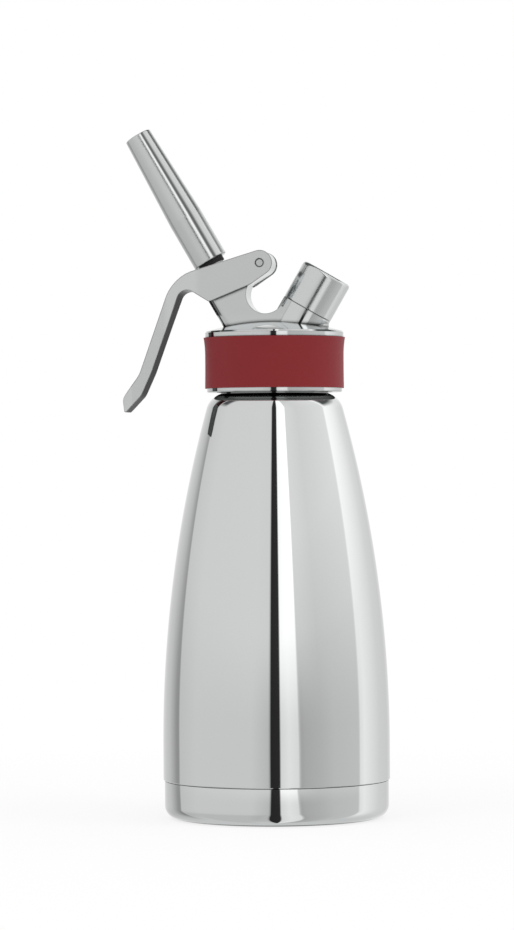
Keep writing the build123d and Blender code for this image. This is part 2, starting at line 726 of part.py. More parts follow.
def valve_spring():
    return VALVE * coil_spring(SPRING_R, SPRING_WIRE, SPRING_TURNS, COLLAR_END, SPRING_WELL_END)


def nozzle_gasket():
    return VALVE * tube(SEAL_RING_R, SPIGOT_R, 0, SEAL_RING_T)


def nozzle():
    outlet_start = OUTLET_L - NOZZLE_L
    body = turned(
        (NOZZLE_BORE, 0),
        (NOZZLE_R, 0, NOZZLE_EDGE),
        (NOZZLE_R, NOZZLE_TAPER_L - NOZZLE_L),
        (NOZZLE_TIP_R, -NOZZLE_L, NOZZLE_EDGE),
        (OUTLET_R, -NOZZLE_L),
        (OUTLET_R, outlet_start),
        (NOZZLE_BORE, -NOZZLE_THREAD_L - OUTLET_TOOTH),
    )
    step = 180 / OUTLET_TEETH
    star = []
    for index in range(2 * OUTLET_TEETH):
        reach = OUTLET_R if index % 2 else OUTLET_R + OUTLET_TOOTH
        star.append(polar((0, 0), reach, index * step))
    outlet = extrude(make_face(Polyline(*star, close=True)), OUTLET_L)
    body -= Pos(0, 0, -NOZZLE_L) * outlet
    start = -SMALL_THREAD_START - SMALL_PITCH * (SMALL_TURNS + 0.5)
    ridge = thread_ridge(NOZZLE_BORE, -NOZZLE_RIDGE_H, SMALL_PITCH, SMALL_TURNS, start)
    return VALVE * (body + ridge)


# ---- Charger port, drawn about Z with s as height, then placed ----
def charger_port():
    body = turned(
        (GAS_HOLE_R, -PORT_STEM_L),
        (PORT_STEM_R, -PORT_STEM_L),
        (PORT_STEM_R, 0),
        (PORT_R, 0),
        (PORT_R, PORT_END, EDGE_BEVEL),
        (CHARGER_RECESS_R, PORT_END),
        (CHARGER_RECESS_R, CHARGER_RECESS_FLOOR),
        (PIERCE_R, CHARGER_RECESS_FLOOR),
        (PIERCE_R, -PIERCE_ROOT),
        (GAS_HOLE_R, -PIERCE_ROOT),
    )
    start = PORT_THREAD_START + SMALL_PITCH / 2
    ridge = thread_ridge(PORT_R, PORT_THREAD_H, SMALL_PITCH, SMALL_TURNS, start)
    return PORT * (body + Rot(0, 0, 180) * ridge)


def piercing_pin():
    return PORT * turned(
        (PIERCE_BORE, -PIERCE_ROOT),
        (PIERCE_R, -PIERCE_ROOT),
        (PIERCE_R, PIERCE_LENGTH - PIERCE_POINT),
        (PIERCE_BORE, PIERCE_LENGTH),
    )


def charger_gasket():
    floor = CHARGER_RECESS_FLOOR
    return PORT * tube(CHARGER_GASKET_R, PIERCE_R, floor, floor + CHARGER_GASKET_T)


def check_valve_disc():
    return PORT * rod(CHECK_DISC_R, -PORT_STEM_L - CHECK_DISC_T, -PORT_STEM_L)


def check_valve_spring():
    top = -PORT_STEM_L - CHECK_DISC_T
    bottom = top - CHECK_SPRING_L
    return PORT * coil_spring(
        CHECK_SPRING_R, CHECK_SPRING_WIRE, CHECK_SPRING_TURNS, bottom, top
    )


def check_valve_retainer():
    top = -PORT_STEM_L - CHECK_DISC_T - CHECK_SPRING_L
    return PORT * tube(CHECK_R, RETAINER_BORE, top - RETAINER_T, top)


def cap_liner():
    return PORT * rod(CAP_BORE - CAP_LINER_GAP, PORT_END, PORT_END + CAP_LINER_T)


def port_cap():
    body = turned(
        (CAP_BORE, CAP_SEAM),
        (CAP_R, CAP_SEAM, EDGE_BEVEL),
        (CAP_R, CAP_L, CAP_EDGE),
        (0, CAP_L),
        (0, CAP_CEILING),
        (CAP_BORE, CAP_CEILING),
    )
    start = PORT_THREAD_START + SMALL_PITCH / 2
    ridge = thread_ridge(CAP_BORE, -CAP_RIDGE_H, SMALL_PITCH, SMALL_TURNS, start)
    return PORT * (body + ridge)


NODES = (
    outer_shell,
    base_cup,
    vacuum_floor,
    vacuum_seal_disc,
    inner_liner,
    neck_ring,
    head_gasket,
    head_body,
    grip_sleeve,
    lever,
    lever_pin,
    stem_collar,
    valve_stem,
    valve_seal,
    valve_guide,
    stem_o_ring,
    valve_spring,
    nozzle_gasket,
    nozzle,
    charger_port,
    piercing_pin,
    charger_gasket,
    check_valve_disc,
    check_valve_spring,
    check_valve_retainer,
    cap_liner,
    port_cap,
)

os.makedirs("parts", exist_ok=True)
for make in NODES:
    export_step(make(), f"parts/{make.__name__}.step")
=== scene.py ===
from math import acos, asin, cos, degrees, pi, radians, sin, sqrt

import bmesh
import bpy
from mathutils import Matrix, Vector


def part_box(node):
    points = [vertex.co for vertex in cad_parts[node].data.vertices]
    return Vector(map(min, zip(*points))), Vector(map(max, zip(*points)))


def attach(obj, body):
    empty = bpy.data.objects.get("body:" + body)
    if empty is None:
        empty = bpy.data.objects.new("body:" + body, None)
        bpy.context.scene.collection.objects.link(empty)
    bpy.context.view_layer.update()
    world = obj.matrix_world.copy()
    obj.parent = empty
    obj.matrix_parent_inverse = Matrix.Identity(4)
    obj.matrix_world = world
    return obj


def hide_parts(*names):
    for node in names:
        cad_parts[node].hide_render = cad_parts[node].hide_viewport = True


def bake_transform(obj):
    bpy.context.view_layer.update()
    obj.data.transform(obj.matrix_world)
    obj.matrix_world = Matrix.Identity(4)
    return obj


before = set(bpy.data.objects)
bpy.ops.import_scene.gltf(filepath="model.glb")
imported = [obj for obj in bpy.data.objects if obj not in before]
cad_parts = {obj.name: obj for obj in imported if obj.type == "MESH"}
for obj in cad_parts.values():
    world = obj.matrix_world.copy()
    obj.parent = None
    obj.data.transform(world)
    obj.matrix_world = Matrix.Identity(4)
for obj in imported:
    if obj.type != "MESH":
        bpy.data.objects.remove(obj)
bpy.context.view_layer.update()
scene = bpy.context.scene
scene.view_settings.view_transform = "Standard"

# ---- Sizes and heights, in metres ----
shell_low, shell_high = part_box("outer_shell")
BODY_R = shell_high[0]
SHOULDER_Z = shell_high[2]
SEAM_Z = shell_low[2]
FOOT_TOP = 0.034  # the foot is a cylinder up to here
FOOT_RING_Z = FOOT_TOP - FOOT_TOP / 8  # a ring just below it keeps the foot's shading straight
SHOULDER_ROUND = 0.01
SHOULDER_TILT = radians(17.2)
NECK_R = 0.0252
SHELL_WALL = 0.0008
EDGE_BEVEL = 0.0003
SEAM_GAP = 0.0003
CUP_INSET = 0.0006
CUP_CORNER = 0.006
CUP_EDGE = 0.00015
CUP_LIP_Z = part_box("base_cup")[1][2]
PIN_BEVEL = 0.0004
SHOULDER_CENTRE_Z = SHOULDER_Z - SHOULDER_ROUND * cos(SHOULDER_TILT)
FLANK_SPAN = BODY_R - NECK_R + SHOULDER_ROUND * sin(SHOULDER_TILT)
FLANK_RISE = SHOULDER_CENTRE_Z - FOOT_TOP
FLANK_SQUARES = FLANK_SPAN**2 + FLANK_RISE**2 - SHOULDER_ROUND**2
FLANK_R = FLANK_SQUARES / (2 * (FLANK_SPAN - SHOULDER_ROUND))

# ---- Axes of the slanted parts, which lean 30 degrees ----
NOZZLE_AXIS = (-0.5, 0.0, 0.8660254)
PORT_AXIS = (0.5, 0.0, 0.8660254)
PORT_ACROSS = (0.8660254, 0.0, -0.5)
PORT_ORIGIN = (0.0156, 0.0, 0.2376)  # the seam between the charger boss and the cap
VALVE_AXIS = (0.5, 0.0, -0.8660254)  # down the stem, the other way from the nozzle's
VALVE_ACROSS = (0.8660254, 0.0, 0.5)
VALVE_ORIGIN = (-0.0298, 0.0, 0.2603)  # the nozzle's base

WHITE = (1, 1, 1, 1)
BLACK = (0, 0, 0, 1)


# ---- Node helpers ----
def add(tree, kind, settings=None, **inputs):
    """A node with its settings and inputs; an input is a value or another node's output.

    An input's name is its socket's name with _ for a space, or i and the socket's number."""
    made = tree.nodes.new(kind)
    for key, value in (settings or {}).items():
        setattr(made, key, value)
    for key, value in inputs.items():
        numbered = key[0] == "i" and key[1:].isdigit()
        socket = made.inputs[int(key[1:]) if numbered else key.replace("_", " ")]
        if isinstance(value, bpy.types.NodeSocket):
            tree.links.new(value, socket)
        else:
            socket.default_value = value
    return made


def emptied(holder):
    """The node tree of a world or a material, with nothing in it."""
    holder.use_nodes = True
    holder.node_tree.nodes.clear()
    return holder.node_tree


def calc(tree, operation, first, second=0.0, third=0.0):
    made = add(tree, "ShaderNodeMath", {"operation": operation}, i0=first, i1=second, i2=third)
    return made.outputs[0]


def dot(tree, first, second):
    made = add(tree, "ShaderNodeVectorMath", {"operation": "DOT_PRODUCT"}, i0=first, i1=second)
    return made.outputs["Value"]


def remap(tree, value, begin, end, low=0.0, high=1.0, kind="LINEAR"):
    """The value's way from begin to end, as a number from low to high."""
    made = add(tree, "ShaderNodeMapRange", {"interpolation_type": kind}, Value=value,
               From_Min=begin, From_Max=end, To_Min=low, To_Max=high)
    return made.outputs[0]


def ramp(tree, factor, stops):
    """A colour ramp from (position, grey) stops."""
    made = add(tree, "ShaderNodeValToRGB", i0=factor)
    elements = made.color_ramp.elements
    while len(elements) < len(stops):
        elements.new(0.5)
    for element, (position, _) in zip(elements, stops):
        element.position = position
    for element, (_, grey) in zip(elements, stops):
        element.color = (grey, grey, grey, 1)
    return made.outputs[0]


def threshold(tree, factor, begin, end, low=0.0, high=1.0):
    """Low up to begin, high from end on, and even in between."""
    return ramp(tree, factor, ((0.0, low), (begin, low), (end, high), (1.0, high)))


def noise(tree, place, scale, detail, rough=0.5):
    made = add(tree, "ShaderNodeTexNoise",
               Vector=place, Scale=scale, Detail=detail, Roughness=rough)
    return made.outputs[0]


def mix_colour(tree, factor, first, second, blend="MIX"):
    made = add(tree, "ShaderNodeMix", {"data_type": "RGBA", "blend_type": blend},
               i0=factor, i6=first, i7=second)
    return made.outputs[2]


def multiply(tree, first, second):
    return mix_colour(tree, 1.0, first, second, "MULTIPLY")


def where(tree, share, colour):
    """The colour where the share is one, and white where it is none."""
    return mix_colour(tree, share, WHITE, colour)


# ---- Camera ----
VIEW = radians(6.5)  # the camera stands this far round to the right
VIEW_FAR = 1.74
VIEW_HEIGHT = 0.1689
VIEW_ROLL = radians(-0.33)
VIEW_SHIFT = (-0.0193, -0.0097)
SENSOR_MM = 36.0
LENS_MM = 143.9
CLIP_FAR = 50.0


def make_camera():
    data = bpy.data.cameras.new("camera")
    data.sensor_width = SENSOR_MM
    data.lens = LENS_MM
    data.shift_x, data.shift_y = VIEW_SHIFT
    data.clip_end = CLIP_FAR
    camera = bpy.data.objects.new("camera", data)
    scene.collection.objects.link(camera)
    turn = Matrix.Rotation(VIEW, 4, "Z") @ Matrix.Rotation(pi / 2, 4, "X")
    turn = turn @ Matrix.Rotation(VIEW_ROLL, 4, "Z")
    place = (VIEW_FAR * sin(VIEW), -VIEW_FAR * cos(VIEW), VIEW_HEIGHT)
    camera.matrix_world = Matrix.Translation(place) @ turn
    scene.camera = camera


# ---- Light: a plain white room, with the studio's panels and gaps as metal shows them ----
# Degrees round from the camera, and how bright a mirror shows it low down and higher up.
BANDS = (
    (-180.0, 0.85, 0.85), (-166.0, 0.66, 0.74), (-155.0, 0.57, 0.62), (-140.0, 0.49, 0.54),
    (-130.0, 0.37, 0.47), (-124.0, 0.28, 0.38), (-118.4, 0.26, 0.29),
    (-117.4, 0.50, 0.55), (-90.0, 0.55, 0.60), (-25.0, 0.55, 0.61), (-7.2, 0.46, 0.60),
    (-6.4, 0.018, 0.020), (3.0, 0.022, 0.026),
    (3.8, 0.64, 0.97), (12.0, 0.73, 0.99), (21.6, 0.67, 0.97),
    (22.6, 0.46, 0.54), (24.2, 0.35, 0.58), (28.0, 0.38, 0.57), (45.0, 0.42, 0.53),
    (60.0, 0.47, 0.55),
    (92.4, 0.50, 0.61), (93.8, 0.70, 0.83), (101.0, 0.78, 0.80), (112.0, 0.71, 0.74),
    (130.0, 0.60, 0.64), (152.0, 0.57, 0.61), (166.0, 0.66, 0.74), (180.0, 0.85, 0.85),
)
# The rest goes by how high and how far back a unit step in a direction ends.
LOWER = -0.05  # the low values hold up to this height
HIGHER = 0.15  # and the higher ones from this one
SPREAD = 0.5  # the panels lean together towards the top
UPPER_RIGHT = (0.10, 0.30, 1.15)  # where that corner's gain begins, where it is full, and the gain
LOWER_LEFT = (-0.10, -0.30, 0.84)
# These pairs are heights and depths counted from 0 to 1, and what they bound sets in between them.
CEILING = (0.70, 0.78)  # dark, behind the object
CEILING_BACK = (0.54, 0.60)
CEILING_COLOUR = (0.07, 0.075, 0.075, 1)
GROUND = (0.12, 0.30)  # pale, behind the object
GROUND_BACK = (0.50, 0.52)
GROUND_COLOUR = (0.52, 0.53, 0.53, 1)
REPEAT_BACK = (0.45, 0.55)
REPEAT_LOSS = 0.35  # how much less of that a mirrored mirror shows
REPEAT_DEPTH = 2.5  # a ray past this has been mirrored twice
MIRROR_STRENGTH = 1.07
PLAIN_STRENGTH = 0.86


def make_world():
    """White to the camera, an even light on the object, and the bands for metal to mirror."""
    scene.world = bpy.data.worlds.new("studio")
    tree = emptied(scene.world)
    direction = add(tree, "ShaderNodeTexCoord").outputs["Generated"]
    facing = add(tree, "ShaderNodeMapping", Vector=direction, Rotation=(0, 0, -VIEW))
    across, away, up = add(tree, "ShaderNodeSeparateXYZ", Vector=facing.outputs[0]).outputs
    spread = calc(tree, "MULTIPLY", across, calc(tree, "MULTIPLY_ADD", up, SPREAD, 1.0))
    round_z = calc(tree, "ARCTAN2", spread, calc(tree, "MULTIPLY", away, -1.0))
    share = calc(tree, "MULTIPLY_ADD", round_z, 1 / (2 * pi), 0.5)
    low = ramp(tree, share, [((angle + 180) / 360, value) for angle, value, _ in BANDS])
    high = ramp(tree, share, [((angle + 180) / 360, value) for angle, _, value in BANDS])
    seen = mix_colour(tree, remap(tree, up, LOWER, HIGHER, kind="SMOOTHSTEP"), low, high)
    begin, end, most = UPPER_RIGHT
    gain = remap(tree, calc(tree, "MINIMUM", across, up), begin, end, 1.0, most)
    begin, end, least = LOWER_LEFT
    fall = remap(tree, calc(tree, "MAXIMUM", across, up), begin, end, 1.0, least)
    seen = multiply(tree, seen, calc(tree, "MULTIPLY", gain, fall))
    height = calc(tree, "MULTIPLY_ADD", up, 0.5, 0.5)
    depth = calc(tree, "MULTIPLY_ADD", away, 0.5, 0.5)
    above = threshold(tree, height, *CEILING)
    above = calc(tree, "MULTIPLY", above, threshold(tree, depth, *CEILING_BACK))
    seen = mix_colour(tree, above, seen, CEILING_COLOUR)
    below = threshold(tree, height, *GROUND, low=1.0, high=0.0)
    below = calc(tree, "MULTIPLY", below, threshold(tree, depth, *GROUND_BACK))
    seen = mix_colour(tree, below, seen, GROUND_COLOUR)
    path = add(tree, "ShaderNodeLightPath")
    repeat = calc(tree, "GREATER_THAN", path.outputs["Ray Depth"], REPEAT_DEPTH)
    repeat = calc(tree, "MULTIPLY", repeat, threshold(tree, depth, *REPEAT_BACK))
    seen = mix_colour(tree, repeat, seen, mix_colour(tree, REPEAT_LOSS, seen, BLACK))
    glossy = add(tree, "ShaderNodeBackground", Color=seen, Strength=MIRROR_STRENGTH)
    plain = add(tree, "ShaderNodeBackground", Color=WHITE, Strength=PLAIN_STRENGTH)
    white = add(tree, "ShaderNodeBackground", Color=WHITE, Strength=1.0)
    lit = add(tree, "ShaderNodeMixShader", i0=path.outputs["Is Glossy Ray"],
              i1=plain.outputs[0], i2=glossy.outputs[0])
    through = path.outputs["Is Transmission Ray"]
    clear = calc(tree, "MAXIMUM", path.outputs["Is Camera Ray"], through)
    both = add(tree, "ShaderNodeMixShader", i0=clear, i1=lit.outputs[0], i2=white.outputs[0])
    out = add(tree, "ShaderNodeOutputWorld")
    tree.links.new(both.outputs[0], out.inputs["Surface"])


LAMP_SIZE = 0.9
LAMP_AIM = (0, 0, 0.16)


def make_lamps():
    for name, place, power in (
        ("key", (-0.9, -1.2, 1.3), 4.9),
        ("fill", (1.5, -0.5, 0.8), 6.6),
    ):
        data = bpy.data.lights.new(name, "AREA")
        data.shape = "SQUARE"
        data.size = LAMP_SIZE
        data.energy = power
        lamp = bpy.data.objects.new(name, data)
        lamp.location = place
        aim = Vector(LAMP_AIM) - Vector(place)
        lamp.rotation_euler = aim.to_track_quat("-Z", "Y").to_euler()
        lamp.visible_glossy = False
        scene.collection.objects.link(lamp)


# ---- Floor: it keeps the shadow, and goes over to plain white farther out ----
FLOOR_R = 6.0
FLOOR_Z = -0.0002
FLOOR_SEGMENTS = 96
FLOOR_GRAIN = 60.0
FLOOR_FADE = ((0.0, 0.80), (0.12, 0.82), (0.45, 1.0), (1.0, 1.0))  # white share by distance out
FLOOR_PAINT = ((0.0, 0.90), (1.0, 0.94))


def make_piece(name, shape):
    """An object with the shape as its mesh."""
    mesh = bpy.data.meshes.new(name)
    shape.to_mesh(mesh)
    shape.free()
    piece = bpy.data.objects.new(name, mesh)
    scene.collection.objects.link(piece)
    return piece


def make_floor():
    shape = bmesh.new()
    bmesh.ops.create_circle(shape, cap_ends=True, radius=FLOOR_R, segments=FLOOR_SEGMENTS)
    floor = make_piece("floor", shape)
    floor.location.z = FLOOR_Z
    floor.visible_glossy = False
    material = bpy.data.materials.new("floor")
    tree = emptied(material)
    place = add(tree, "ShaderNodeTexCoord").outputs["Object"]
    far = add(tree, "ShaderNodeVectorMath", {"operation": "LENGTH"}, i0=place).outputs["Value"]
    paint = ramp(tree, noise(tree, place, FLOOR_GRAIN, 3.0), FLOOR_PAINT)
    matte = add(tree, "ShaderNodeBsdfDiffuse", Color=paint)
    glow = add(tree, "ShaderNodeEmission", Color=WHITE, Strength=1.0)
    path = add(tree, "ShaderNodeLightPath")
    share = calc(tree, "MULTIPLY", path.outputs["Is Camera Ray"], ramp(tree, far, FLOOR_FADE))
    both = add(tree, "ShaderNodeMixShader", i0=share, i1=matte.outputs[0], i2=glow.outputs[0])
    out = add(tree, "ShaderNodeOutputMaterial")
    tree.links.new(both.outputs[0], out.inputs["Surface"])
    floor.data.materials.append(material)


# ---- Materials ----
NOISE_SPAN = (0.3, 0.7)  # nearly all of a noise's values lie between these
GRAIN_ROUGH = 0.6  # of the noise that makes a grain
STEEL_CLOUD = 45.0  # scale of the soft patches
STEEL_CLOUD_LIGHT = 0.5  # how far they go to the light colour
STEEL_CLOUD_SHARE = 0.4  # of the roughness
STEEL_GRAIN_SHARE = 0.6
STEEL_GRAIN_HEIGHT = 0.00002
RUBBER_CLOUD = 30.0
RUBBER_GRAIN_HEIGHT = 0.00006
RUBBER_SPECULAR = 0.25
SHEEN_ROUGH = 0.45
# How dark the painted shade in a hollow corner is:
CREASE_STOPS = ((0.0, 0.05), (0.40, 0.05), (0.62, 0.30), (0.80, 1.0), (1.0, 1.0))  # by openness
CREASE_SAMPLES = 8
BEVEL_SAMPLES = 6
# For the painted dark line along outer edges:
EDGE_TURN = (0.94, 0.998)  # how even a bevel is with the surface, at an edge and away from one
OUTWARD_LEAN = (0.003, 0.005)  # Y of the place times Y of the normal, off and on a flat outer side


def start(name):
    """A material with its node tree, its shader and the place on the object."""
    material = bpy.data.materials.new(name)
    tree = emptied(material)
    shader = add(tree, "ShaderNodeBsdfPrincipled")
    out = add(tree, "ShaderNodeOutputMaterial")
    tree.links.new(shader.outputs[0], out.inputs["Surface"])
    place = add(tree, "ShaderNodeTexCoord").outputs["Object"]
    return material, tree, shader, place


def object_normal(tree):
    return add(tree, "ShaderNodeTexCoord").outputs["Normal"]


def true_normal(tree):
    return add(tree, "ShaderNodeNewGeometry").outputs["Normal"]


def bevel_normal(tree, width):
    return add(tree, "ShaderNodeBevel", {"samples": BEVEL_SAMPLES}, Radius=width).outputs[0]


def streaks(tree, place, tilt, fine, long):
    """Noise drawn out along an axis that leans by tilt in the XZ plane."""
    turned = add(tree, "ShaderNodeMapping", Vector=place, Rotation=(0, tilt, 0)).outputs[0]
    drawn = add(tree, "ShaderNodeMapping", Vector=turned, Scale=(fine, fine, long)).outputs[0]
    return noise(tree, drawn, 1.0, 4.0, GRAIN_ROUGH)


def outward(tree, parts):
    """One on a flat side that faces away from the middle plane, and none on the rest."""
    normal = add(tree, "ShaderNodeSeparateXYZ", Vector=object_normal(tree)).outputs
    return remap(tree, calc(tree, "MULTIPLY", parts[1], normal[1]), *OUTWARD_LEAN)


def painted_shade_of_sides(tree, parts, shaded):
    """The painted shade on the darker sides, all of them together."""
    sides_painted_shade = None
    for direction, stops, axis, begin, end in shaded:
        share = ramp(tree, dot(tree, object_normal(tree), direction), stops)
        share = where(tree, remap(tree, parts[axis], begin, end), share)
        sides_painted_shade = multiply(tree, sides_painted_shade, share) if sides_painted_shade else share
    return sides_painted_shade


def steel(name, dark, light, rough, tilt=0.0, fine=4000.0, long=4000.0, depth=0.2, bevel=0.0,
          crease=0.0, within=None, edge=None, plate=False, turned=None, stretch=0.0, shaded=(),
          polished=None):
    """Steel whose colour goes from dark to light and its roughness from rough's least to most.

    tilt, fine, long, depth: the grain's lean, its scale across and along, and its strength.
    bevel: how wide a rounding the corners show.
    crease, within: how far out a hollow corner gets painted shade, and the heights that sets in
    between.
    edge: how far in an outer edge gets a painted dark line, and how dark.
    plate: the three above are kept to the flat outer sides, off the rims.
    turned, stretch: the axis it was turned on, and how far that draws out its reflections.
    shaded: sides with painted shade, each (direction, stops, axis, begin, end): how dark it is
    by how squarely it faces the direction, setting in from begin to end along the axis.
    polished: the height below which it is polished, its roughness there, and over how far that
        goes over to the rest."""
    material, tree, shader, place = start(name)
    grain = streaks(tree, place, tilt, fine, long)
    cloud = noise(tree, place, STEEL_CLOUD, 4.0)
    colour = mix_colour(tree, grain, (*dark, 1), (*light, 1))
    patch = calc(tree, "MULTIPLY", cloud, STEEL_CLOUD_LIGHT)
    colour = mix_colour(tree, patch, colour, (*light, 1))
    blend = calc(tree, "MULTIPLY", grain, STEEL_GRAIN_SHARE)
    blend = calc(tree, "MULTIPLY_ADD", cloud, STEEL_CLOUD_SHARE, blend)
    roughness = remap(tree, blend, *NOISE_SPAN, *rough)
    parts = add(tree, "ShaderNodeSeparateXYZ", Vector=place).outputs
    sides_painted_shade = painted_shade_of_sides(tree, parts, shaded)
    # Painted shade on the darker sides, in the colour and in the tint of their reflections.
    if sides_painted_shade:
        colour = multiply(tree, colour, sides_painted_shade)
        tree.links.new(sides_painted_shade, shader.inputs["Specular Tint"])
    # Painted shade in hollow corners, by how closed in they are.
    if crease:
        hollow = add(tree, "ShaderNodeAmbientOcclusion", {"samples": CREASE_SAMPLES},
                     Distance=crease).outputs["AO"]
        hollows_painted_shade = ramp(tree, hollow, CREASE_STOPS)
        if plate:
            hollows_painted_shade = where(tree, outward(tree, parts), hollows_painted_shade)
        if within:
            hollows_painted_shade = where(tree, remap(tree, parts[2], *within), hollows_painted_shade)
        colour = multiply(tree, colour, hollows_painted_shade)
    # Painted shade: a dark line along outer edges, for the dark a rounded edge shows.
    if edge:
        width, share = edge
        even = dot(tree, bevel_normal(tree, width), true_normal(tree))
        edges_painted_shade = threshold(tree, even, *EDGE_TURN, low=share)
        if plate:
            edges_painted_shade = where(tree, outward(tree, parts), edges_painted_shade)
        colour = multiply(tree, colour, edges_painted_shade)
    if polished:
        height, smooth, over = polished
        satin = remap(tree, parts[2], height, height + over)
        rougher = calc(tree, "SUBTRACT", roughness, smooth)
        roughness = calc(tree, "MULTIPLY_ADD", rougher, satin, smooth)
    tree.links.new(colour, shader.inputs["Base Color"])
    shader.inputs["Metallic"].default_value = 1.0
    tree.links.new(roughness, shader.inputs["Roughness"])
    bump = add(tree, "ShaderNodeBump", Strength=depth, Distance=STEEL_GRAIN_HEIGHT, Height=grain)
    if bevel:
        soft = bevel_normal(tree, bevel)
        if plate:
            soft = add(tree, "ShaderNodeMix", {"data_type": "VECTOR"},
                       i0=outward(tree, parts), i4=true_normal(tree), i5=soft).outputs[1]
        tree.links.new(soft, bump.inputs["Normal"])
    tree.links.new(bump.outputs[0], shader.inputs["Normal"])
    if turned:
        shader.inputs["Anisotropic"].default_value = stretch
        along = add(tree, "ShaderNodeCombineXYZ", X=turned[0], Y=turned[1], Z=turned[2])
        tree.links.new(along.outputs[0], shader.inputs["Tangent"])
    return material


def rubber(name, dark, light, rough, grain_scale, depth, sheen=0.0, sheen_colour=(1, 1, 1)):
    """Matt rubber whose colour goes from dark to light, with a fine grain and a soft sheen."""
    material, tree, shader, place = start(name)
    grain = noise(tree, place, grain_scale, 3.0, GRAIN_ROUGH)
    cloud = noise(tree, place, RUBBER_CLOUD, 3.0)
    colour = mix_colour(tree, cloud, (*dark, 1), (*light, 1))
    tree.links.new(colour, shader.inputs["Base Color"])
    tree.links.new(remap(tree, grain, *NOISE_SPAN, *rough), shader.inputs["Roughness"])
    shader.inputs["Specular IOR Level"].default_value = RUBBER_SPECULAR
    shader.inputs["Sheen Weight"].default_value = sheen
    shader.inputs["Sheen Roughness"].default_value = SHEEN_ROUGH
    shader.inputs["Sheen Tint"].default_value = (*sheen_colour, 1)
    bump = add(tree, "ShaderNodeBump", Strength=depth, Distance=RUBBER_GRAIN_HEIGHT, Height=grain)
    tree.links.new(bump.outputs[0], shader.inputs["Normal"])
    return material


# ---- Turned pieces ----
ROUND_SEGMENTS = 288
PIN_SEGMENTS = 64
FLANK_STEPS = 64
SHOULDER_STEPS = 40
CUP_STEPS = 24
CUP_INNER_STEPS = 16
CUP_EDGE_STEPS = 4
ON_AXIS = 1e-6  # a smaller radius is a single point


def sharpen(shape, ring):
    """Mark the edges round a ring of corners as sharp."""
    for first, second in zip(ring, ring[1:] + ring[:1]):
        shape.edges.get((first, second)).smooth = False


def arc(centre, radius, start, end, steps):
    """Points round a centre, from one angle to another in degrees, both ends in."""
    turns = [radians(start + (end - start) * step / steps) for step in range(steps + 1)]
    return [(centre[0] + radius * cos(turn), centre[1] + radius * sin(turn)) for turn in turns]


def lathe(name, profile, corners, segments=ROUND_SEGMENTS):
    """A closed mesh turned about Z from (radius, height) points; corners lists the sharp ones."""
    shape = bmesh.new()
    rings = []
    for radius, height in profile:
        count = segments if radius > ON_AXIS else 1
        turns = [2 * pi * index / segments for index in range(count)]
        points = [(radius * cos(turn), radius * sin(turn), height) for turn in turns]
        rings.append([shape.verts.new(point) for point in points])
    pairs = list(zip(rings, rings[1:]))
    if len(rings[0]) > 1 or len(rings[-1]) > 1:
        pairs.append((rings[-1], rings[0]))
    for lower, upper in pairs:
        for index in range(segments):
            after = (index + 1) % segments
            sides = [(lower, index), (lower, after), (upper, after), (upper, index)]
            corner = [ring[place % len(ring)] for ring, place in sides]
            shape.faces.new(list(dict.fromkeys(corner)))
    for face in shape.faces:
        face.smooth = True
    for point in corners:
        sharpen(shape, rings[profile.index(point)])
    bmesh.ops.recalc_face_normals(shape, faces=shape.faces)
    return make_piece(name, shape)


def flank_round(inset, radius, z):
    """Centre, and angle on the flank, of a rounding at this height that touches the inset flank."""
    reach = FLANK_R - inset - radius
    rise = z - FOOT_TOP
    return (BODY_R - FLANK_R + sqrt(reach**2 - rise**2), z), degrees(asin(rise / reach))


def make_shell():
    walls = []
    for inset in (0.0, SHELL_WALL):
        rounding = SHOULDER_ROUND - inset
        centre, angle = flank_round(inset, rounding, SHOULDER_CENTRE_Z)
        neck_angle = degrees(acos((NECK_R - centre[0]) / rounding))
        wall = [(BODY_R - inset, FOOT_RING_Z)]
        wall += arc((BODY_R - FLANK_R, FOOT_TOP), FLANK_R - inset, 0, angle, FLANK_STEPS)
        wall += arc(centre, rounding, angle, neck_angle, SHOULDER_STEPS)[1:]
        walls.append(wall)
    outer, inner = walls
    foot = [(BODY_R - EDGE_BEVEL, SEAM_Z), (BODY_R, SEAM_Z + EDGE_BEVEL)]
    bore = (BODY_R - SHELL_WALL, SEAM_Z)
    profile = foot + outer + inner[::-1] + [bore]
    return lathe("bottle_shell", profile, foot + [outer[-1], inner[-1], bore])


def make_cup():
    outer = BODY_R - CUP_INSET
    bore = BODY_R - SHELL_WALL
    inner = bore - SHELL_WALL
    top = SEAM_Z - SEAM_GAP
    profile = [(0.0, 0.0)]
    profile += arc((outer - CUP_CORNER, CUP_CORNER), CUP_CORNER, -90, 0, CUP_STEPS)
    profile += arc((outer - CUP_EDGE, top - CUP_EDGE), CUP_EDGE, 0, 90, CUP_EDGE_STEPS)
    lip = [(bore, top), (bore, CUP_LIP_Z), (inner, CUP_LIP_Z)]
    profile += lip
    corner = CUP_CORNER - SHELL_WALL
    profile += arc((inner - corner, CUP_CORNER), corner, 0, -90, CUP_INNER_STEPS)
    profile.append((0.0, SHELL_WALL))
    return lathe("bottle_base", profile, lip)


def make_pin():
    """The pin lies along Y, with a small bevel at each end."""
    low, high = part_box("lever_pin")
    radius = (high[0] - low[0]) / 2
    half = high[1]
    face = radius - PIN_BEVEL
    corners = [(face, -half), (radius, PIN_BEVEL - half), (radius, half - PIN_BEVEL), (face, half)]
    pin = lathe("pivot_pin", [(0.0, -half), *corners, (0.0, half)], corners, PIN_SEGMENTS)
    place = Matrix.Translation(((low[0] + high[0]) / 2, 0, (low[2] + high[2]) / 2))
    pin.data.transform(place @ Matrix.Rotation(pi / 2, 4, "X"))
    return pin


# ---- Springs ----
COIL_STEPS = 48  # to a turn
WIRE_SIDES = 16


def placed(origin, across, along):
    """The frame with its X axis across and its Z axis along."""
    turn = Matrix((across, Vector(along).cross(Vector(across)), along)).transposed().to_4x4()
    return Matrix.Translation(origin) @ turn


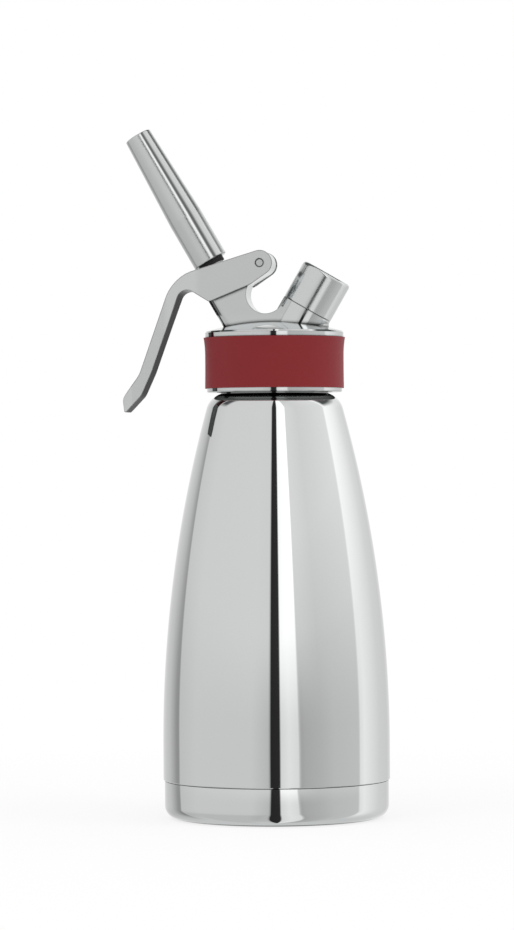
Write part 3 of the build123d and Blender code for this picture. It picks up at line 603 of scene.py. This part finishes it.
def make_coil(name, place, radius, wire, turns, low, high):
    """A round-wire spring that just touches both heights on the Z axis of its place."""
    shape = bmesh.new()
    rise = high - low - 2 * wire
    slope = rise / (2 * pi * turns * radius)
    rings = []
    for step in range(turns * COIL_STEPS + 1):
        turn = 2 * pi * step / COIL_STEPS
        out = Vector((cos(turn), sin(turn), 0))
        side = Vector((-sin(turn), cos(turn), slope)).normalized().cross(out)
        height = low + wire + rise * step / (turns * COIL_STEPS)
        centre = out * radius + Vector((0, 0, height))
        ring = []
        for index in range(WIRE_SIDES):
            bend = 2 * pi * index / WIRE_SIDES
            ring.append(shape.verts.new(centre + out * wire * cos(bend) + side * wire * sin(bend)))
        rings.append(ring)
    for lower, upper in zip(rings, rings[1:]):
        for index in range(WIRE_SIDES):
            after = (index + 1) % WIRE_SIDES
            corner = (lower[index], lower[after], upper[after], upper[index])
            shape.faces.new(corner).smooth = True
    for ring in (rings[0], rings[-1]):
        shape.faces.new(ring)
        sharpen(shape, ring)
    bmesh.ops.recalc_face_normals(shape, faces=shape.faces)
    coil = make_piece(name, shape)
    coil.data.transform(place)
    return coil


# ---- Stage ----
make_camera()
make_world()
make_lamps()
make_floor()

# ---- Painted shade on some sides: the way each faces, its stops, and where along an axis it sets in ----
X, Z = 0, 2
# Painted shade on the lever's inner underside.
LEVER_UNDER = (0.77, 0.0, -0.64)
LEVER_STOPS = ((0.0, 1.0), (0.35, 1.0), (0.60, 0.19))
LEVER_SHADE = (LEVER_UNDER, LEVER_STOPS, X, -0.0085, -0.0105)
# Painted shade and reflection on the web's left side: dark, with a lighter line along its middle.
WEB_SIDE = (-0.866, 0.0, -0.5)
WEB_STOPS = ((0.0, 1.0), (0.42, 1.0), (0.52, 0.14), (0.72, 0.45), (0.88, 0.14))
WEB_SHADE = (WEB_SIDE, WEB_STOPS, Z, 0.2340, 0.2350)
# Painted shade under the head's rim.
DOWN = (0.0, 0.0, -1.0)
RIM_STOPS = ((0.0, 1.0), (0.80, 1.0), (0.92, 0.22))
RIM_UNDER = 0.2030  # the underside of the head's rim is below this height
RIM_OVER = 0.2040
RIM_SHADE = (DOWN, RIM_STOPS, Z, RIM_OVER, RIM_UNDER)
# Painted dark reflection: a band along the nozzle's right side.
NOZZLE_SIDE = (0.866, 0.0, 0.5)
NOZZLE_STOPS = ((0.0, 1.0), (0.31, 1.0), (0.38, 0.22), (0.46, 0.22), (0.58, 1.0))
NOZZLE_SHADE = (NOZZLE_SIDE, NOZZLE_STOPS, Z, 0.2, 0.21)  # all of the nozzle is above that
# Painted shade in the bottle's hollow corners near the base seam:
FOOT_CREASE = (0.060, 0.050)  # the bottle's corners darken below the first, in full below the next
DOME_EDGE = 0.2325  # the head is polished below this height
DOME_BLEND = 0.003

# ---- Finishes: how each is made, and the nodes it goes on ----
FINISHES = (
    (steel, "mirror_steel", ("outer_shell", "base_cup"), dict(
        dark=(0.91, 0.92, 0.92), light=(0.94, 0.95, 0.95), rough=(0.012, 0.03), fine=900, long=900,
        depth=0.015, crease=0.0012, within=FOOT_CREASE)),
    (steel, "head_steel", ("head_body",), dict(
        dark=(0.82, 0.84, 0.84), light=(0.88, 0.90, 0.90), rough=(0.12, 0.20),
        tilt=radians(60), fine=6000, long=300, depth=0.12,
        crease=0.0026, within=(RIM_UNDER, RIM_OVER), edge=(0.0006, 0.5),
        polished=(DOME_EDGE, 0.035, DOME_BLEND), shaded=(WEB_SHADE, RIM_SHADE))),
    (steel, "lever_steel", ("lever",), dict(
        dark=(0.82, 0.83, 0.83), light=(0.88, 0.89, 0.89), rough=(0.12, 0.20),
        tilt=radians(73), fine=6000, long=300, depth=0.12, bevel=0.0004,
        crease=0.0014, edge=(0.0008, 0.35), plate=True, shaded=(LEVER_SHADE,))),
    (steel, "nozzle_steel", ("nozzle",), dict(
        dark=(0.80, 0.82, 0.82), light=(0.90, 0.91, 0.91), rough=(0.18, 0.26),
        tilt=radians(30), fine=300, long=9000, depth=0.06, bevel=0.0003,
        crease=0.0012, edge=(0.0005, 0.5), turned=NOZZLE_AXIS, stretch=0.6,
        shaded=(NOZZLE_SHADE,))),
    (steel, "cap_steel", ("port_cap",), dict(
        dark=(0.80, 0.82, 0.82), light=(0.90, 0.91, 0.91), rough=(0.15, 0.20),
        tilt=radians(-30), fine=300, long=9000, depth=0.004, bevel=0.0004,
        crease=0.0012, edge=(0.0005, 0.5), turned=PORT_AXIS, stretch=0.2)),
    (steel, "pin_steel", (), dict(
        dark=(0.70, 0.71, 0.71), light=(0.86, 0.87, 0.87), rough=(0.14, 0.26),
        fine=2500, long=2500, depth=0.3, crease=0.0010)),
    # Painted shade: the neck's steel is made dark for the shaded gap under the head.
    (steel, "neck_steel", ("neck_ring",), dict(
        dark=(0.22, 0.225, 0.225), light=(0.30, 0.305, 0.305), rough=(0.06, 0.10),
        fine=300, long=7000, depth=0.1)),
    (steel, "inner_steel", ("inner_liner", "vacuum_floor", "vacuum_seal_disc"), dict(
        dark=(0.66, 0.67, 0.67), light=(0.76, 0.77, 0.77), rough=(0.22, 0.34),
        fine=300, long=7000)),
    (steel, "turned_steel", (
        "lever_pin", "stem_collar", "valve_stem", "charger_port", "piercing_pin",
        "check_valve_retainer",
    ), dict(
        dark=(0.62, 0.63, 0.64), light=(0.76, 0.77, 0.78), rough=(0.16, 0.30),
        tilt=radians(30), fine=400, long=9000, bevel=0.0002)),
    (steel, "spring_steel", ("valve_spring", "check_valve_spring"), dict(
        dark=(0.42, 0.43, 0.44), light=(0.56, 0.57, 0.58), rough=(0.22, 0.34),
        fine=3000, long=3000)),
    (steel, "brass", ("valve_guide",), dict(
        dark=(0.66, 0.46, 0.20), light=(0.78, 0.58, 0.28), rough=(0.20, 0.32),
        tilt=radians(30), fine=400, long=9000)),
    (rubber, "red_silicone", ("grip_sleeve",), dict(
        dark=(0.190, 0.0125, 0.0145), light=(0.218, 0.0155, 0.0185), rough=(0.50, 0.62),
        grain_scale=2600.0, depth=0.25, sheen=0.15, sheen_colour=(1.0, 0.55, 0.65))),
    (rubber, "pale_silicone", ("head_gasket",), dict(
        dark=(0.70, 0.69, 0.65), light=(0.78, 0.77, 0.73), rough=(0.42, 0.55),
        grain_scale=1800.0, depth=0.2)),
    (rubber, "black_rubber", (
        "nozzle_gasket", "stem_o_ring", "valve_seal", "charger_gasket", "check_valve_disc",
        "cap_liner",
    ), dict(
        dark=(0.012, 0.012, 0.013), light=(0.022, 0.022, 0.023), rough=(0.40, 0.55),
        grain_scale=2600.0, depth=0.3)),
)
materials = {}
for make, name, nodes, settings in FINISHES:
    materials[name] = make(name, **settings)
    for node in nodes:
        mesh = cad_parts[node].data
        for slot in range(len(mesh.materials)):
            mesh.materials[slot] = materials[name]

# ---- Pieces that stand in for CAD nodes ----
for piece, node, body, finish, slot in (
    (make_shell(), "outer_shell", "bottle", "mirror_steel", "polished_steel"),
    (make_cup(), "base_cup", "bottle", "mirror_steel", "polished_steel"),
    (make_pin(), "lever_pin", "trigger", "pin_steel", "turned_steel"),
):
    piece.data.materials.append(materials[finish])
    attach(piece, body)
    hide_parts(node)

# Each spring is pressed along its own length. The numbers are its radius, its wire's radius, its
# turns and the heights it goes between.
for name, node, place, radius, wire, turns, low, high, low_body, high_body in (
    ("valve_coil", "valve_spring", placed(VALVE_ORIGIN, VALVE_ACROSS, VALVE_AXIS),
     0.0056, 0.00055, 5, 0.0096, 0.0215, "valve", "head"),
    ("check_coil", "check_valve_spring", placed(PORT_ORIGIN, PORT_ACROSS, PORT_AXIS),
     0.0026, 0.00025, 3, -0.0124, -0.0090, "head", "gas_check"),
):
    coil = make_coil(name, place, radius, wire, turns, low, high)
    coil.data.materials.append(materials["spring_steel"])
    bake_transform(coil)
    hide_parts(node)
